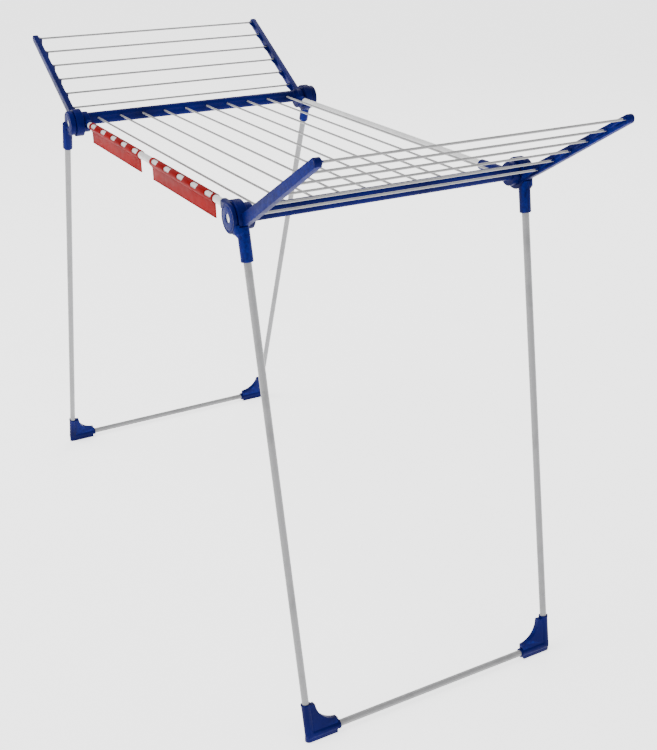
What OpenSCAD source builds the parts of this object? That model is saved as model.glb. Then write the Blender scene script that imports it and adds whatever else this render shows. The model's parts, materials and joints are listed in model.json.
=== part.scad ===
// Folding clothes drying rack: a lengthwise rod frame, two raised wings and two folding leg frames.
// Millimetres, +Z up. Origin: centre of the footprint, on the floor. +X is the front end, left is -Y.

/* [Centre frame] */
// Distance from the middle to each folding axis
hinge_x = 491; // [440:1:540]
// Height of the folding axes above the floor
hinge_z = 1116; // [900:1:1200]
// Spacing of the ten lengthwise rods
rod_pitch = 61; // [40:1:70]
// Diameter of every drying rod
rod_d = 4.8; // [3:0.1:7]
// Height of the rods above the folding axes
rod_rise = 7; // [5:0.5:10]
// Outside diameter of the two side tubes
side_tube_d = 16; // [14:0.5:17]
// Half distance between the side tubes
side_y = 310; // [308:0.5:311]

/* [Wings] */
// Angle the wings stand above level in use
wing_angle = 31; // [10:1:45]
// Distance from the folding axis to the first wing rod
wing_first = 76; // [70:1:90]
// Spacing of the six wing rods
wing_pitch = 55; // [45:1:58]
// Length of each wing arm from the folding axis
wing_len = 357; // [355:1:380]
// Depth of the wing rods below the folding axis
wing_rod_drop = 19; // [18:0.5:20]

/* [Legs] */
// Outward lean of the front leg frame
splay_front = 12; // [8:0.5:18]
// Outward lean of the rear leg frame
splay_rear = 20.5; // [14:0.5:24]
// Outside diameter of the leg tubes
leg_d = 16; // [14:0.5:17]
// Distance from the folding axis to the middle line of a leg
leg_offset = 20; // [18:0.5:24]
// Half width of the front leg frame, which nests inside
leg_y_front = 330; // [329:0.5:331]
// Half width of the rear leg frame, which folds outside
leg_y_rear = 351; // [350.5:0.5:354]

/* [Holders] */
// Length of each small item holder
holder_len = 350; // [250:1:360]
// Drop of the holder plate below the folding axis
holder_drop = 33; // [20:1:50]

/* [Hidden] */
$fn = 48;

rod_r = rod_d / 2;
rod_bore = rod_r + 0.05;
bar_x = 8;            // middle of the end bar, outward of the axis
bar_z = 5;
bar_w = 22;
bar_h = 29;
bar_t = 2.6;
bar_half = 291;
boss_r = 25;
boss_y0 = 302;
boss_y1 = 319;
hub_r = 33.5;
arm_y0 = 320.5;
arm_y1 = 341;
arm_w1 = 334;          // the arm is narrower than its hub
arm_t = 2.6;
disc_r = 29.5;
disc_y0 = 342.2;
disc_front = 350.5;
disc_rear = 356;
pin_r = 4;
pin_bore = 4.05;
tube_r = leg_d / 2;
tube_bore = tube_r + 0.08;
socket_r = 12.5;
socket_top = 13;
socket_end = 82;
sleeve_front = 104;    // length of the sleeves on the side tubes
sleeve_rear = 42;
tube_rise = -2;       // middle of the side tubes against the axis
foot_z = 16;
foot_r = 10.5;
head_r = 8.5;
wing_rods = [for (k = [0:5]) wing_first + k * wing_pitch];

// moves the whole rack so that the middle of its footprint is the origin
shift_x = 60.633;

function leg_len(s) = (hinge_z + leg_offset * sin(s) - foot_z) / cos(s);
function foot_x(s) = hinge_x + leg_offset * cos(s) + leg_len(s) * sin(s);

blue = [0.05, 0.13, 0.48];
steel = [0.82, 0.83, 0.84];
red = [0.85, 0.05, 0.12];

// Everything at a corner is drawn for the front right one: +X outward along the rack, +Y outward sideways.
module corner(ex, sy)
  translate([ex * hinge_x, 0, hinge_z])
    mirror([ex < 0 ? 1 : 0, 0, 0]) mirror([0, sy < 0 ? 1 : 0, 0]) children();

module cyl_y(r, y0, y1) translate([0, y1, 0]) rotate([90, 0, 0]) cylinder(r = r, h = y1 - y0);
module cyl_x(r, x0, x1) translate([x0, 0, 0]) rotate([0, 90, 0]) cylinder(r = r, h = x1 - x0);

// A round disc along Y with its outer edges rounded.
module soft_disc(r, y0, y1, e)
  translate([0, y0, 0]) rotate([-90, 0, 0]) rotate_extrude() union() {
    square([r - e, y1 - y0]);
    translate([0, e]) square([r, y1 - y0 - 2 * e]);
    translate([r - e, e]) circle(r = e, $fn = 24);
    translate([r - e, y1 - y0 - e]) circle(r = e, $fn = 24);
  }

module round_rect(w, h, r) union() {
  square([w - 2 * r, h], center = true);
  square([w, h - 2 * r], center = true);
  for (a = [-1, 1], b = [-1, 1]) translate([a * (w / 2 - r), b * (h / 2 - r)]) circle(r = r, $fn = 32);
}

// Round-cornered bar along Y, its section in X and Z.
module bar_y(w, h, r, y0, y1)
  translate([0, y1, 0]) rotate([90, 0, 0]) linear_extrude(height = y1 - y0) round_rect(w, h, r);

module placed() translate([shift_x, 0, 0]) children();

// ---- centre frame ----
module side_tube(sy) color(steel)
  translate([0, sy * side_y, hinge_z + tube_rise]) difference() {
    cyl_x(side_tube_d / 2, -(hinge_x - 16), hinge_x - 16);
    cyl_x(side_tube_d / 2 - 1, -hinge_x, hinge_x);
  }

module end_bar(ex) color(blue)
  corner(ex, 1) difference() {
    translate([bar_x, 0, bar_z]) bar_y(bar_w, bar_h, 8, -bar_half, bar_half);
    translate([bar_x, 0, bar_z]) bar_y(bar_w - 2 * bar_t, bar_h - 2 * bar_t, 5.4, -bar_half - 1, bar_half + 1);
    for (i = [0:9]) translate([0, (i - 4.5) * rod_pitch, rod_rise]) cyl_x(rod_bore, -10, 6);
  }

module frame_rods() color(steel)
  for (i = [0:9]) translate([0, (i - 4.5) * rod_pitch, hinge_z + rod_rise])
    cyl_x(rod_r, -(hinge_x + 6), hinge_x + 6);

module corner_bracket(ex, sy) {
  sleeve = ex > 0 ? sleeve_front : sleeve_rear;
  color(blue) corner(ex, sy) difference() {
    union() {
      soft_disc(boss_r, boss_y0, boss_y1, 2.5);
      intersection() {
        translate([0, side_y, tube_rise]) cyl_x(11.2, -sleeve, 0);
        translate([-120, 280, -30]) cube([140, boss_y1 - 280, 60]);
      }
      translate([bar_x, 0, bar_z]) bar_y(bar_w, bar_h, 8, bar_half + 0.1, boss_y0 + 4);
      translate([bar_x, 0, bar_z]) bar_y(bar_w - 2 * bar_t - 0.3, bar_h - 2 * bar_t - 0.3, 5.2, bar_half - 14, boss_y0 + 2);
    }
    translate([0, side_y, tube_rise]) cyl_x(side_tube_d / 2 + 0.08, -sleeve - 6, -15.5);
    cyl_y(pin_bore, 305.5, 330);
  }
}

module hinge_screw(ex, sy, face) corner(ex, sy) union() {
  cyl_y(pin_r, 306, face - 1.2);
  translate([0, face - 2.9, 0]) rotate([-90, 0, 0]) rotate_extrude() difference() {
    union() {
      square([head_r, 1.5]);
      intersection() {
        translate([0, 2.6 - 16]) circle(r = 16, $fn = 96);
        square([head_r, 4]);
      }
    }
    translate([0, 1.9]) square([2.2, 3]);
  }
}
module hinge_screws(ex) color(steel) for (sy = [-1, 1]) hinge_screw(ex, sy, ex > 0 ? disc_front : disc_rear);

// ---- clip-on holders on the left side tube ----
module holder(x0) color(red)
  translate([x0, -side_y, hinge_z + tube_rise]) difference() {
    rotate([90, 0, 90]) linear_extrude(height = holder_len) union() {
      difference() {
        union() {
          circle(r = 9.8, $fn = 64);
          translate([-2.8, -6 - holder_drop]) square([1.9, holder_drop]);
          translate([-3.6, -6 - holder_drop]) square([3.2, 2]);
          translate([-4.4, -11]) square([4, 3]);
        }
        circle(r = side_tube_d / 2 + 0.08, $fn = 64);
        // open on the inner side below, so that it clips over the tube
        polygon([[0.9, -4], [0.9, -20], [20, -20], [20, -3], [4, -3]]);
      }
    }
    // rounded windows in the clip
    for (k = [0:4]) translate([26 + k * 75, 0, 0]) rotate([45, 0, 0]) translate([0, 0, 3])
      linear_extrude(height = 12) round_rect(34, 12.8, 5.6);
  }

// ---- wings, drawn flat along +X and then raised ----
module wing(ex, sy) corner(ex, sy) rotate([0, -wing_angle, 0]) children();

// heights of the upper and lower edge of an arm along its length
function arm_top(r) = r < 40 ? 1 - r / 8 : -4 - 8 * (r - 40) / (wing_len - 40);
function arm_bot(r) = r < 80 ? -25 - (r - 16) / 32 : -27 - 1.5 * (r - 80) / (wing_len - 80);

module arm_profile(g = 0) polygon([
  [0, 1 + g], [40, arm_top(40) + g], [wing_len, arm_top(wing_len) + g], [wing_len, arm_bot(wing_len) - g],
  [80, arm_bot(80) - g], [16, -25 - g], [0, -25 - g]]);

module arm(ex, sy) color(blue) wing(ex, sy) difference() {
  union() {
    soft_disc(hub_r, arm_y0, arm_y1, 2);
    translate([0, arm_w1, 0]) rotate([90, 0, 0]) linear_extrude(height = arm_w1 - arm_y0) arm_profile();
    // gussets beside the rods, in the plane of the rods
    for (r = wing_rods) translate([0, 0, -wing_rod_drop - 1.6]) linear_extrude(height = 3.2)
      polygon([[r + 4.5, arm_y0 + 2], [r + 4.5, arm_y0 - 3.5], [r + 1, arm_y0 - 8.5], [r - 4, arm_y0 - 9], [r - 34, arm_y0], [r - 34, arm_y0 + 2]]);
  }
  // hollow, open at the tip
  translate([0, arm_w1 - arm_t, 0]) rotate([90, 0, 0]) linear_extrude(height = arm_w1 - arm_y0 - 2 * arm_t)
    polygon([[44, arm_top(44) - arm_t], [wing_len + 1, arm_top(wing_len + 1) - arm_t],
      [wing_len + 1, arm_bot(wing_len + 1) + arm_t], [80, arm_bot(80) + arm_t], [44, arm_bot(44) + arm_t]]);
  for (r = wing_rods) translate([r, 0, -wing_rod_drop]) cyl_y(rod_bore, 300, arm_w1 - arm_t + 0.5);
  cyl_y(pin_bore, 310, 350);
}

module wing_rod_set(ex) color(steel) wing(ex, 1)
  for (r = wing_rods) translate([r, 0, -wing_rod_drop]) cyl_y(rod_r, -arm_w1 + arm_t - 0.2, arm_w1 - arm_t + 0.2);

module tip_cap(ex, sy) color(blue) wing(ex, sy) union() {
  mid = (arm_top(wing_len) + arm_bot(wing_len)) / 2;
  intersection() {
    translate([wing_len - 3.2, 0, mid]) soft_disc(8.9, arm_y0 - 0.4, arm_w1 + 0.4, 3);
    translate([wing_len + 0.15, 300, -60]) cube([40, 60, 80]);
  }
  // plug inside the hollow arm
  difference() {
    translate([wing_len - 11, arm_y0 + arm_t + 0.15, arm_bot(wing_len) + arm_t + 0.4])
      cube([14, arm_w1 - arm_y0 - 2 * arm_t - 0.3, arm_top(wing_len) - arm_bot(wing_len) - 2 * arm_t - 0.8]);
    translate([wing_rods[5], 0, -wing_rod_drop]) cyl_y(rod_r + 0.4, 300, 350);
  }
}

// ---- leg frames, drawn hanging straight down and then leaned outward ----
module leg(ex, sy) corner(ex, sy) rotate([0, ex > 0 ? -splay_front : -splay_rear, 0]) children();

module leg_head(ex, sy) {
  ly = ex > 0 ? leg_y_front : leg_y_rear;
  face = ex > 0 ? disc_front : disc_rear;
  s = ex > 0 ? splay_front : splay_rear;
  web_y = face - 12.9;
  color(blue) leg(ex, sy) difference() {
    union() {
      soft_disc(disc_r, disc_y0, face, 2);
      // socket for the leg tube
      translate([leg_offset, ly, -socket_end]) cylinder(r = socket_r, h = socket_end - socket_top);
      translate([leg_offset, ly, -socket_end - 1.2]) cylinder(r1 = socket_r - 1.2, r2 = socket_r, h = 1.21);
      // rounded web from the disc into the socket
      translate([leg_offset, web_y, -29]) cylinder(r = 12, h = 29 - socket_top);
      translate([leg_offset, web_y, -39]) cylinder(r1 = 4, r2 = 12, h = 10.01);
      translate([leg_offset, ly, -socket_top - 0.01]) cylinder(r1 = socket_r, r2 = socket_r - 5, h = 5);
    }
    // room for the hub of the arm and for the arm itself
    cyl_y(hub_r + 1.4, 300, arm_y1 + 0.7);
    rotate([0, s - wing_angle, 0]) translate([0, arm_y1 + 0.7, 0]) rotate([90, 0, 0])
      linear_extrude(height = 42) arm_profile(1.5);
    translate([leg_offset, ly, -socket_end - 2]) cylinder(r = tube_bore, h = socket_end - 42);
    cyl_y(pin_bore, 330, 370);
    cyl_y(head_r + 0.7, face - 3, face + 3);
    // thin ring groove round the face
    translate([0, face - 0.9, 0]) rotate([-90, 0, 0]) rotate_extrude() translate([disc_r - 6.6, 0]) square([1.6, 4]);
  }
}

module leg_tube(ex, sy) {
  s = ex > 0 ? splay_front : splay_rear;
  color(steel) leg(ex, sy) translate([leg_offset, ex > 0 ? leg_y_front : leg_y_rear, -leg_len(s) + 20]) difference() {
    cylinder(r = tube_r, h = leg_len(s) - 20 - 45);
    translate([0, 0, -1]) cylinder(r = tube_r - 1, h = leg_len(s));
  }
}

module foot_tube(ex) {
  s = ex > 0 ? splay_front : splay_rear;
  ly = ex > 0 ? leg_y_front : leg_y_rear;
  color(steel) translate([ex * foot_x(s), 0, foot_z]) difference() {
    cyl_y(tube_r, -ly + 16, ly - 16);
    cyl_y(tube_r - 1, -ly, ly);
  }
}

module foot_corner(ex, sy) {
  s = ex > 0 ? splay_front : splay_rear;
  ly = ex > 0 ? leg_y_front : leg_y_rear;
  color(blue) intersection() {
    translate([-1500, -600, 0]) cube([3000, 1200, 300]);
    difference() {
      union() {
        leg(ex, sy) translate([leg_offset, ly, -leg_len(s)]) {
          // socket for the leg
          translate([0, 0, -4]) cylinder(r = foot_r, h = 82);
          translate([0, 0, 72]) cylinder(r1 = foot_r, r2 = foot_r + 0.7, h = 4);
          translate([0, 0, 76]) cylinder(r = foot_r + 0.7, h = 3);
          // web with a hollow arc
          translate([-7, 0, 0]) rotate([90, 0, 90]) linear_extrude(height = 14) difference() {
            translate([-71, 0]) square([71, 74]);
            translate([-76, 77]) circle(r = 56, $fn = 72);
          }
        }
        // socket for the cross tube, along Y at the bottom
        translate([ex * foot_x(s), 0, foot_z]) mirror([0, sy < 0 ? 1 : 0, 0]) {
          cyl_y(foot_r, ly - 72, ly + 4);
          cyl_y(foot_r + 0.7, ly - 76, ly - 72);
          // foot pad down to the floor
          translate([-9, ly - 68, -foot_z]) cube([18, 70, foot_z]);
          translate([0, ly + 2.2, -foot_z]) cylinder(r = 8.6, h = foot_z + 6);
        }
      }
      leg(ex, sy) translate([leg_offset, ly, -leg_len(s) + 19.5]) cylinder(r = tube_bore, h = 76);
      translate([ex * foot_x(s), 0, foot_z]) mirror([0, sy < 0 ? 1 : 0, 0]) cyl_y(tube_bore, ly - 96, ly - 15.5);
    }
  }
}

placed() side_tube(-1);  // side_tube_left
placed() side_tube(1);  // side_tube_right
placed() end_bar(-1);  // end_bar_rear
placed() end_bar(1);  // end_bar_front
placed() frame_rods();
placed() corner_bracket(-1, -1);  // corner_bracket_rear_left
placed() corner_bracket(-1, 1);  // corner_bracket_rear_right
placed() corner_bracket(1, -1);  // corner_bracket_front_left
placed() corner_bracket(1, 1);  // corner_bracket_front_right
placed() hinge_screws(-1);  // hinge_screws_rear
placed() hinge_screws(1);  // hinge_screws_front
placed() holder(-430);  // small_item_holder_rear
placed() holder(-4);  // small_item_holder_front
placed() arm(-1, -1);  // wing_rear_arm_left
placed() arm(-1, 1);  // wing_rear_arm_right
placed() wing_rod_set(-1);  // wing_rear_rods
placed() tip_cap(-1, -1);  // wing_rear_tip_cap_left
placed() tip_cap(-1, 1);  // wing_rear_tip_cap_right
placed() arm(1, -1);  // wing_front_arm_left
placed() arm(1, 1);  // wing_front_arm_right
placed() wing_rod_set(1);  // wing_front_rods
placed() tip_cap(1, -1);  // wing_front_tip_cap_left
placed() tip_cap(1, 1);  // wing_front_tip_cap_right
placed() leg_head(-1, -1);  // leg_rear_head_left
placed() leg_head(-1, 1);  // leg_rear_head_right
placed() leg_tube(-1, -1);  // leg_rear_tube_left
placed() leg_tube(-1, 1);  // leg_rear_tube_right
placed() foot_tube(-1);  // foot_tube_rear
placed() foot_corner(-1, -1);  // foot_corner_rear_left
placed() foot_corner(-1, 1);  // foot_corner_rear_right
placed() leg_head(1, -1);  // leg_front_head_left
placed() leg_head(1, 1);  // leg_front_head_right
placed() leg_tube(1, -1);  // leg_front_tube_left
placed() leg_tube(1, 1);  // leg_front_tube_right
placed() foot_tube(1);  // foot_tube_front
placed() foot_corner(1, -1);  // foot_corner_front_left
placed() foot_corner(1, 1);  // foot_corner_front_right
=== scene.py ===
import json
import math

import bmesh
import bpy
from mathutils import Matrix, Vector


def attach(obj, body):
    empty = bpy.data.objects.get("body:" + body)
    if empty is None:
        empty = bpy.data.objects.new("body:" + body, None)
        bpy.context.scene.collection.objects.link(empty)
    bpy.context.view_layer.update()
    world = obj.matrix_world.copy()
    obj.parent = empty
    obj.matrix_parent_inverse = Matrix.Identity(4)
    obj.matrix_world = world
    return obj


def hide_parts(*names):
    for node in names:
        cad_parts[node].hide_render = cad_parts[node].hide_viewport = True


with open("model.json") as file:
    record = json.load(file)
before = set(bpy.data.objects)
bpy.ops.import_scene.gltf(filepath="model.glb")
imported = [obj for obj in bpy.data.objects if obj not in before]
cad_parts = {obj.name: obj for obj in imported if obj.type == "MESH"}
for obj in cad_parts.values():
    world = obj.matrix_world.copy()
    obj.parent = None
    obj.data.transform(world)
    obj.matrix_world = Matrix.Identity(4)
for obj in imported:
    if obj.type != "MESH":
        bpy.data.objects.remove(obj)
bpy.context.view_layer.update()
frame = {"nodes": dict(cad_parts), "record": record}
nodes = frame["nodes"]
BODIES = frame["record"]["behaviour"]["bodies"]
BODY = {n: b for b, ns in BODIES.items() for n in ns}


# ---------------------------------------------------------------- materials
def tree(name):
    m = bpy.data.materials.new(name)
    m.use_nodes = True
    nt = m.node_tree
    nt.nodes.clear()
    out = nt.nodes.new("ShaderNodeOutputMaterial")
    bsdf = nt.nodes.new("ShaderNodeBsdfPrincipled")
    nt.links.new(bsdf.outputs[0], out.inputs[0])
    tc = nt.nodes.new("ShaderNodeTexCoord")
    return m, nt, bsdf, tc


def noise(nt, tc, scale, detail=3.0, rough=0.5, stretch=None):
    n = nt.nodes.new("ShaderNodeTexNoise")
    n.inputs["Scale"].default_value = scale
    n.inputs["Detail"].default_value = detail
    n.inputs["Roughness"].default_value = rough
    if stretch:
        mp = nt.nodes.new("ShaderNodeMapping")
        mp.inputs["Scale"].default_value = stretch
        nt.links.new(tc.outputs["Object"], mp.inputs["Vector"])
        nt.links.new(mp.outputs[0], n.inputs["Vector"])
    else:
        nt.links.new(tc.outputs["Object"], n.inputs["Vector"])
    return n


def ramp(nt, src, stops):
    r = nt.nodes.new("ShaderNodeValToRGB")
    e = r.color_ramp.elements
    e[0].position, e[0].color = stops[0][0], (*stops[0][1], 1)
    e[1].position, e[1].color = stops[-1][0], (*stops[-1][1], 1)
    for p, c in stops[1:-1]:
        k = e.new(p)
        k.color = (*c, 1)
    nt.links.new(src, r.inputs[0])
    return r


def spread(nt, src, lo, hi):
    m = nt.nodes.new("ShaderNodeMapRange")
    m.inputs["From Min"].default_value = 0.3
    m.inputs["From Max"].default_value = 0.7
    m.inputs["To Min"].default_value = lo
    m.inputs["To Max"].default_value = hi
    nt.links.new(src, m.inputs["Value"])
    return m


def bump(nt, bsdf, pairs):
    prev = None
    for src, strength, dist in pairs:
        b = nt.nodes.new("ShaderNodeBump")
        b.inputs["Strength"].default_value = strength
        b.inputs["Distance"].default_value = dist
        nt.links.new(src, b.inputs["Height"])
        if prev:
            nt.links.new(prev.outputs[0], b.inputs["Normal"])
        prev = b
    nt.links.new(prev.outputs[0], bsdf.inputs["Normal"])


def moulded(name, dark, mid, light, wear, rough, coat):
    """Moulded plastic: slow colour drift, fine spark-eroded grain, rubbed edges."""
    m, nt, bsdf, tc = tree(name)
    slow = noise(nt, tc, 9, 2)
    col = ramp(nt, slow.outputs["Fac"], [(0.3, dark), (0.5, mid), (0.72, light)])
    geo = nt.nodes.new("ShaderNodeNewGeometry")
    edge = nt.nodes.new("ShaderNodeMapRange")
    edge.inputs["From Min"].default_value = 0.53
    edge.inputs["From Max"].default_value = 0.62
    nt.links.new(geo.outputs["Pointiness"], edge.inputs["Value"])
    scuff = noise(nt, tc, 160, 5, 0.6)
    scuff_r = spread(nt, scuff.outputs["Fac"], 0.0, 0.6)
    rub = nt.nodes.new("ShaderNodeMath")
    rub.operation = "MULTIPLY"
    nt.links.new(edge.outputs[0], rub.inputs[0])
    nt.links.new(scuff_r.outputs[0], rub.inputs[1])
    mix = nt.nodes.new("ShaderNodeMix")
    mix.data_type = "RGBA"
    mix.inputs["B"].default_value = (*wear, 1)
    nt.links.new(rub.outputs[0], mix.inputs["Factor"])
    nt.links.new(col.outputs[0], mix.inputs["A"])
    nt.links.new(mix.outputs["Result"], bsdf.inputs["Base Color"])
    fine = noise(nt, tc, 900, 2)
    wide = noise(nt, tc, 45, 4)
    r = spread(nt, wide.outputs["Fac"], rough - 0.06, rough + 0.08)
    nt.links.new(r.outputs[0], bsdf.inputs["Roughness"])
    bump(nt, bsdf, [(wide.outputs["Fac"], 0.12, 0.0006), (fine.outputs["Fac"], 0.22, 0.00012)])
    bsdf.inputs["Coat Weight"].default_value = coat
    bsdf.inputs["Coat Roughness"].default_value = 0.25
    bsdf.inputs["IOR"].default_value = 1.42
    bsdf.inputs["Specular IOR Level"].default_value = 0.06
    return m


def coated(name, base, dull, rough, stretch, peel):
    """Powder-coated steel: orange peel, faint drawing lines along the tube, small scuffs."""
    m, nt, bsdf, tc = tree(name)
    slow = noise(nt, tc, 14, 4, 0.6)
    col = ramp(nt, slow.outputs["Fac"], [(0.32, dull), (0.5, base), (0.75, base)])
    rub = noise(nt, tc, 60, 6, 0.7, stretch)
    marks = ramp(nt, rub.outputs["Fac"], [(0.66, (0, 0, 0)), (0.76, (1, 1, 1))])
    mix = nt.nodes.new("ShaderNodeMix")
    mix.data_type = "RGBA"
    mix.inputs["B"].default_value = (*[c * 0.62 for c in dull], 1)
    sc = nt.nodes.new("ShaderNodeMath")
    sc.operation = "MULTIPLY"
    sc.inputs[1].default_value = 0.35
    nt.links.new(marks.outputs[0], sc.inputs[0])
    nt.links.new(sc.outputs[0], mix.inputs["Factor"])
    nt.links.new(col.outputs[0], mix.inputs["A"])
    nt.links.new(mix.outputs["Result"], bsdf.inputs["Base Color"])
    pl = noise(nt, tc, peel, 2)
    wide = noise(nt, tc, 40, 3)
    r = spread(nt, wide.outputs["Fac"], rough - 0.05, rough + 0.09)
    nt.links.new(r.outputs[0], bsdf.inputs["Roughness"])
    bump(nt, bsdf, [(pl.outputs["Fac"], 0.2, 0.00025), (rub.outputs["Fac"], 0.08, 0.0002)])
    bsdf.inputs["Coat Weight"].default_value = 0.3
    bsdf.inputs["Coat Roughness"].default_value = 0.2
    return m


def plated(name):
    m, nt, bsdf, tc = tree(name)
    w = noise(nt, tc, 300, 4, 0.6)
    col = ramp(nt, w.outputs["Fac"], [(0.3, (0.42, 0.43, 0.45)), (0.7, (0.72, 0.73, 0.75))])
    nt.links.new(col.outputs[0], bsdf.inputs["Base Color"])
    r = spread(nt, w.outputs["Fac"], 0.16, 0.34)
    nt.links.new(r.outputs[0], bsdf.inputs["Roughness"])
    ring = noise(nt, tc, 700, 3)
    bump(nt, bsdf, [(ring.outputs["Fac"], 0.15, 0.0001)])
    bsdf.inputs["Metallic"].default_value = 1.0
    return m


BLUE = moulded("blue_moulded", (0.0001, 0.0009, 0.036), (0.0002, 0.0014, 0.056), (0.0003, 0.0022, 0.08), (0.003, 0.012, 0.18), 0.42, 0.02)
RED = moulded("red_moulded", (0.14, 0.0, 0.0006), (0.19, 0.0, 0.0009), (0.23, 0.0, 0.0012), (0.3, 0.006, 0.006), 0.5, 0.0)
TUBE = coated("tube_coat", (0.2, 0.2, 0.205), (0.155, 0.155, 0.16), 0.32, (3, 3, 0.2), 650)
ROD = coated("rod_coat", (0.21, 0.208, 0.21), (0.165, 0.163, 0.165), 0.3, (0.2, 3, 3), 900)
# painted light: a lighter copy of the tube coat for the side tubes, which are the same steel as the leg tubes shown
# brighter
SIDE_TUBE_PAINTED_LIGHT = coated("side_tube_coat", (0.6, 0.6, 0.6), (0.52, 0.52, 0.52), 0.33, (0.2, 3, 3), 650)
PLATE = plated("plated_steel")

SLOT = {"blue_plastic": BLUE, "red_plastic": RED, "tube_steel": TUBE, "rod_steel": ROD, "screw_steel": PLATE}
node_slot = {s["node"]: s["material_slot"] for s in frame["record"]["subparts"]}


def paint(o, mat):
    o.data.materials.clear()
    o.data.materials.append(mat)


def smooth(me, limit=32):
    bm = bmesh.new()
    bm.from_mesh(me)
    for f in bm.faces:
        f.smooth = True
    for e in bm.edges:
        e.smooth = not (len(e.link_faces) == 2 and e.calc_face_angle(0) > math.radians(limit))
    bm.to_mesh(me)
    bm.free()


def refined(node, width, mat, segments=2, sharp=38, suffix="_moulding"):
    """A finished moulding in place of the CAD node: coplanar faces joined, every hard edge given a small radius."""
    src = nodes[node]
    bm = bmesh.new()
    bm.from_mesh(src.data)
    bmesh.ops.remove_doubles(bm, verts=bm.verts, dist=2e-6)
    bmesh.ops.dissolve_limit(bm, angle_limit=math.radians(0.6), verts=bm.verts, edges=bm.edges)
    bmesh.ops.dissolve_degenerate(bm, dist=4e-6, edges=bm.edges)
    edges = [e for e in bm.edges if len(e.link_faces) == 2 and e.calc_face_angle(0) > math.radians(sharp) and e.calc_length() > 1e-5]
    bmesh.ops.bevel(bm, geom=edges, offset=width, offset_type="OFFSET", segments=segments, profile=0.6, affect="EDGES", clamp_overlap=True, harden_normals=False)
    bmesh.ops.recalc_face_normals(bm, faces=bm.faces)
    me = bpy.data.meshes.new(node + suffix)
    bm.to_mesh(me)
    bm.free()
    o = bpy.data.objects.new(node + suffix, me)
    bpy.context.scene.collection.objects.link(o)
    smooth(me, 28)
    paint(o, mat)
    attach(o, BODY[node])
    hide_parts(node)
    return o


for n, o in nodes.items():
    mat = SLOT[node_slot[n]]
    # side tubes take the lighter copy of the tube coat, a painted highlight on the same steel
    if n.startswith("side_tube"):
        mat = SIDE_TUBE_PAINTED_LIGHT
    paint(o, mat)

REFINE = {
    "corner_bracket": 0.0009,
    "arm_": 0.0009,
    "tip_cap": 0.0012,
    "head_": 0.001,
    "foot_corner": 0.0012,
    "end_bar": 0.0008,
    "small_item_holder": 0.0005,
}
for n in sorted(nodes):
    for key, w in REFINE.items():
        if key in n:
            refined(n, w, SLOT[node_slot[n]])


# ---------------------------------------------------------------- stage
def floor():
    me = bpy.data.meshes.new("floor")
    s = 60
    me.from_pydata([(-s, -s, 0), (s, -s, 0), (s, s, 0), (-s, s, 0)], [], [(0, 1, 2, 3)])
    o = bpy.data.objects.new("floor", me)
    bpy.context.scene.collection.objects.link(o)
    m, nt, bsdf, tc = tree("floor_paint")
    w = noise(nt, tc, 3, 4)
    c = ramp(nt, w.outputs["Fac"], [(0.3, (0.9, 0.9, 0.905)), (0.7, (0.93, 0.93, 0.935))])
    nt.links.new(c.outputs[0], bsdf.inputs["Base Color"])
    bsdf.inputs["Roughness"].default_value = 0.9
    bsdf.inputs["Emission Color"].default_value = (1.0, 1.0, 1.0, 1)
    bsdf.inputs["Emission Strength"].default_value = 1.9
    paint(o, m)


def area(name, loc, target, size, power, colour=(1, 1, 1)):
    li = bpy.data.lights.new(name, "AREA")
    li.shape = "DISK"
    li.size = size
    li.energy = power
    li.color = colour
    o = bpy.data.objects.new(name, li)
    o.location = loc
    o.rotation_mode = "QUATERNION"
    o.rotation_quaternion = (Vector(target) - Vector(loc)).to_track_quat("-Z", "Y")
    bpy.context.scene.collection.objects.link(o)


floor()
world = bpy.data.worlds.new("studio")
world.use_nodes = True
bg = world.node_tree.nodes["Background"]
bg.inputs[0].default_value = (1.0, 1.0, 1.0, 1)
bg.inputs[1].default_value = 0.95
bpy.context.scene.world = world
area("key", (-0.6, -2.6, 5.6), (0, 0, 0.4), 2.6, 220)
area("fill", (4.6, 2.2, 3.0), (0, 0, 0.6), 3.0, 20)
area("rim", (-3.4, 3.4, 4.6), (-0.4, 0.4, 0.2), 3.4, 90)

# ---------------------------------------------------------------- camera
F_PX, AZ, EL, ROLL = 1075.1, 61.40, 30.46, -0.47
PX, PY = 327.0, 491.1
a, e, r = map(math.radians, (AZ, EL, ROLL))
back = Vector((math.sin(a) * math.cos(e), -math.cos(a) * math.cos(e), math.sin(e)))
right = Vector((math.cos(a), math.sin(a), 0))
up = back.cross(right)
right2 = right * math.cos(r) + up * math.sin(r)
up2 = -right * math.sin(r) + up * math.cos(r)
cam = bpy.data.cameras.new("camera")
cam.sensor_width = 36
cam.sensor_fit = "AUTO"
cam.lens = F_PX * 36 / 750
cam.shift_x = (328.5 - PX) / 750
cam.shift_y = (PY - 375) / 750
cam_o = bpy.data.objects.new("camera", cam)
bpy.context.scene.collection.objects.link(cam_o)
mid_x = 0.060633
rot = Matrix((right2, up2, back)).transposed().to_4x4()
cam_o.matrix_world = Matrix.Translation((2.3373 + mid_x, -1.1485, 1.6977)) @ rot
bpy.context.scene.camera = cam_o
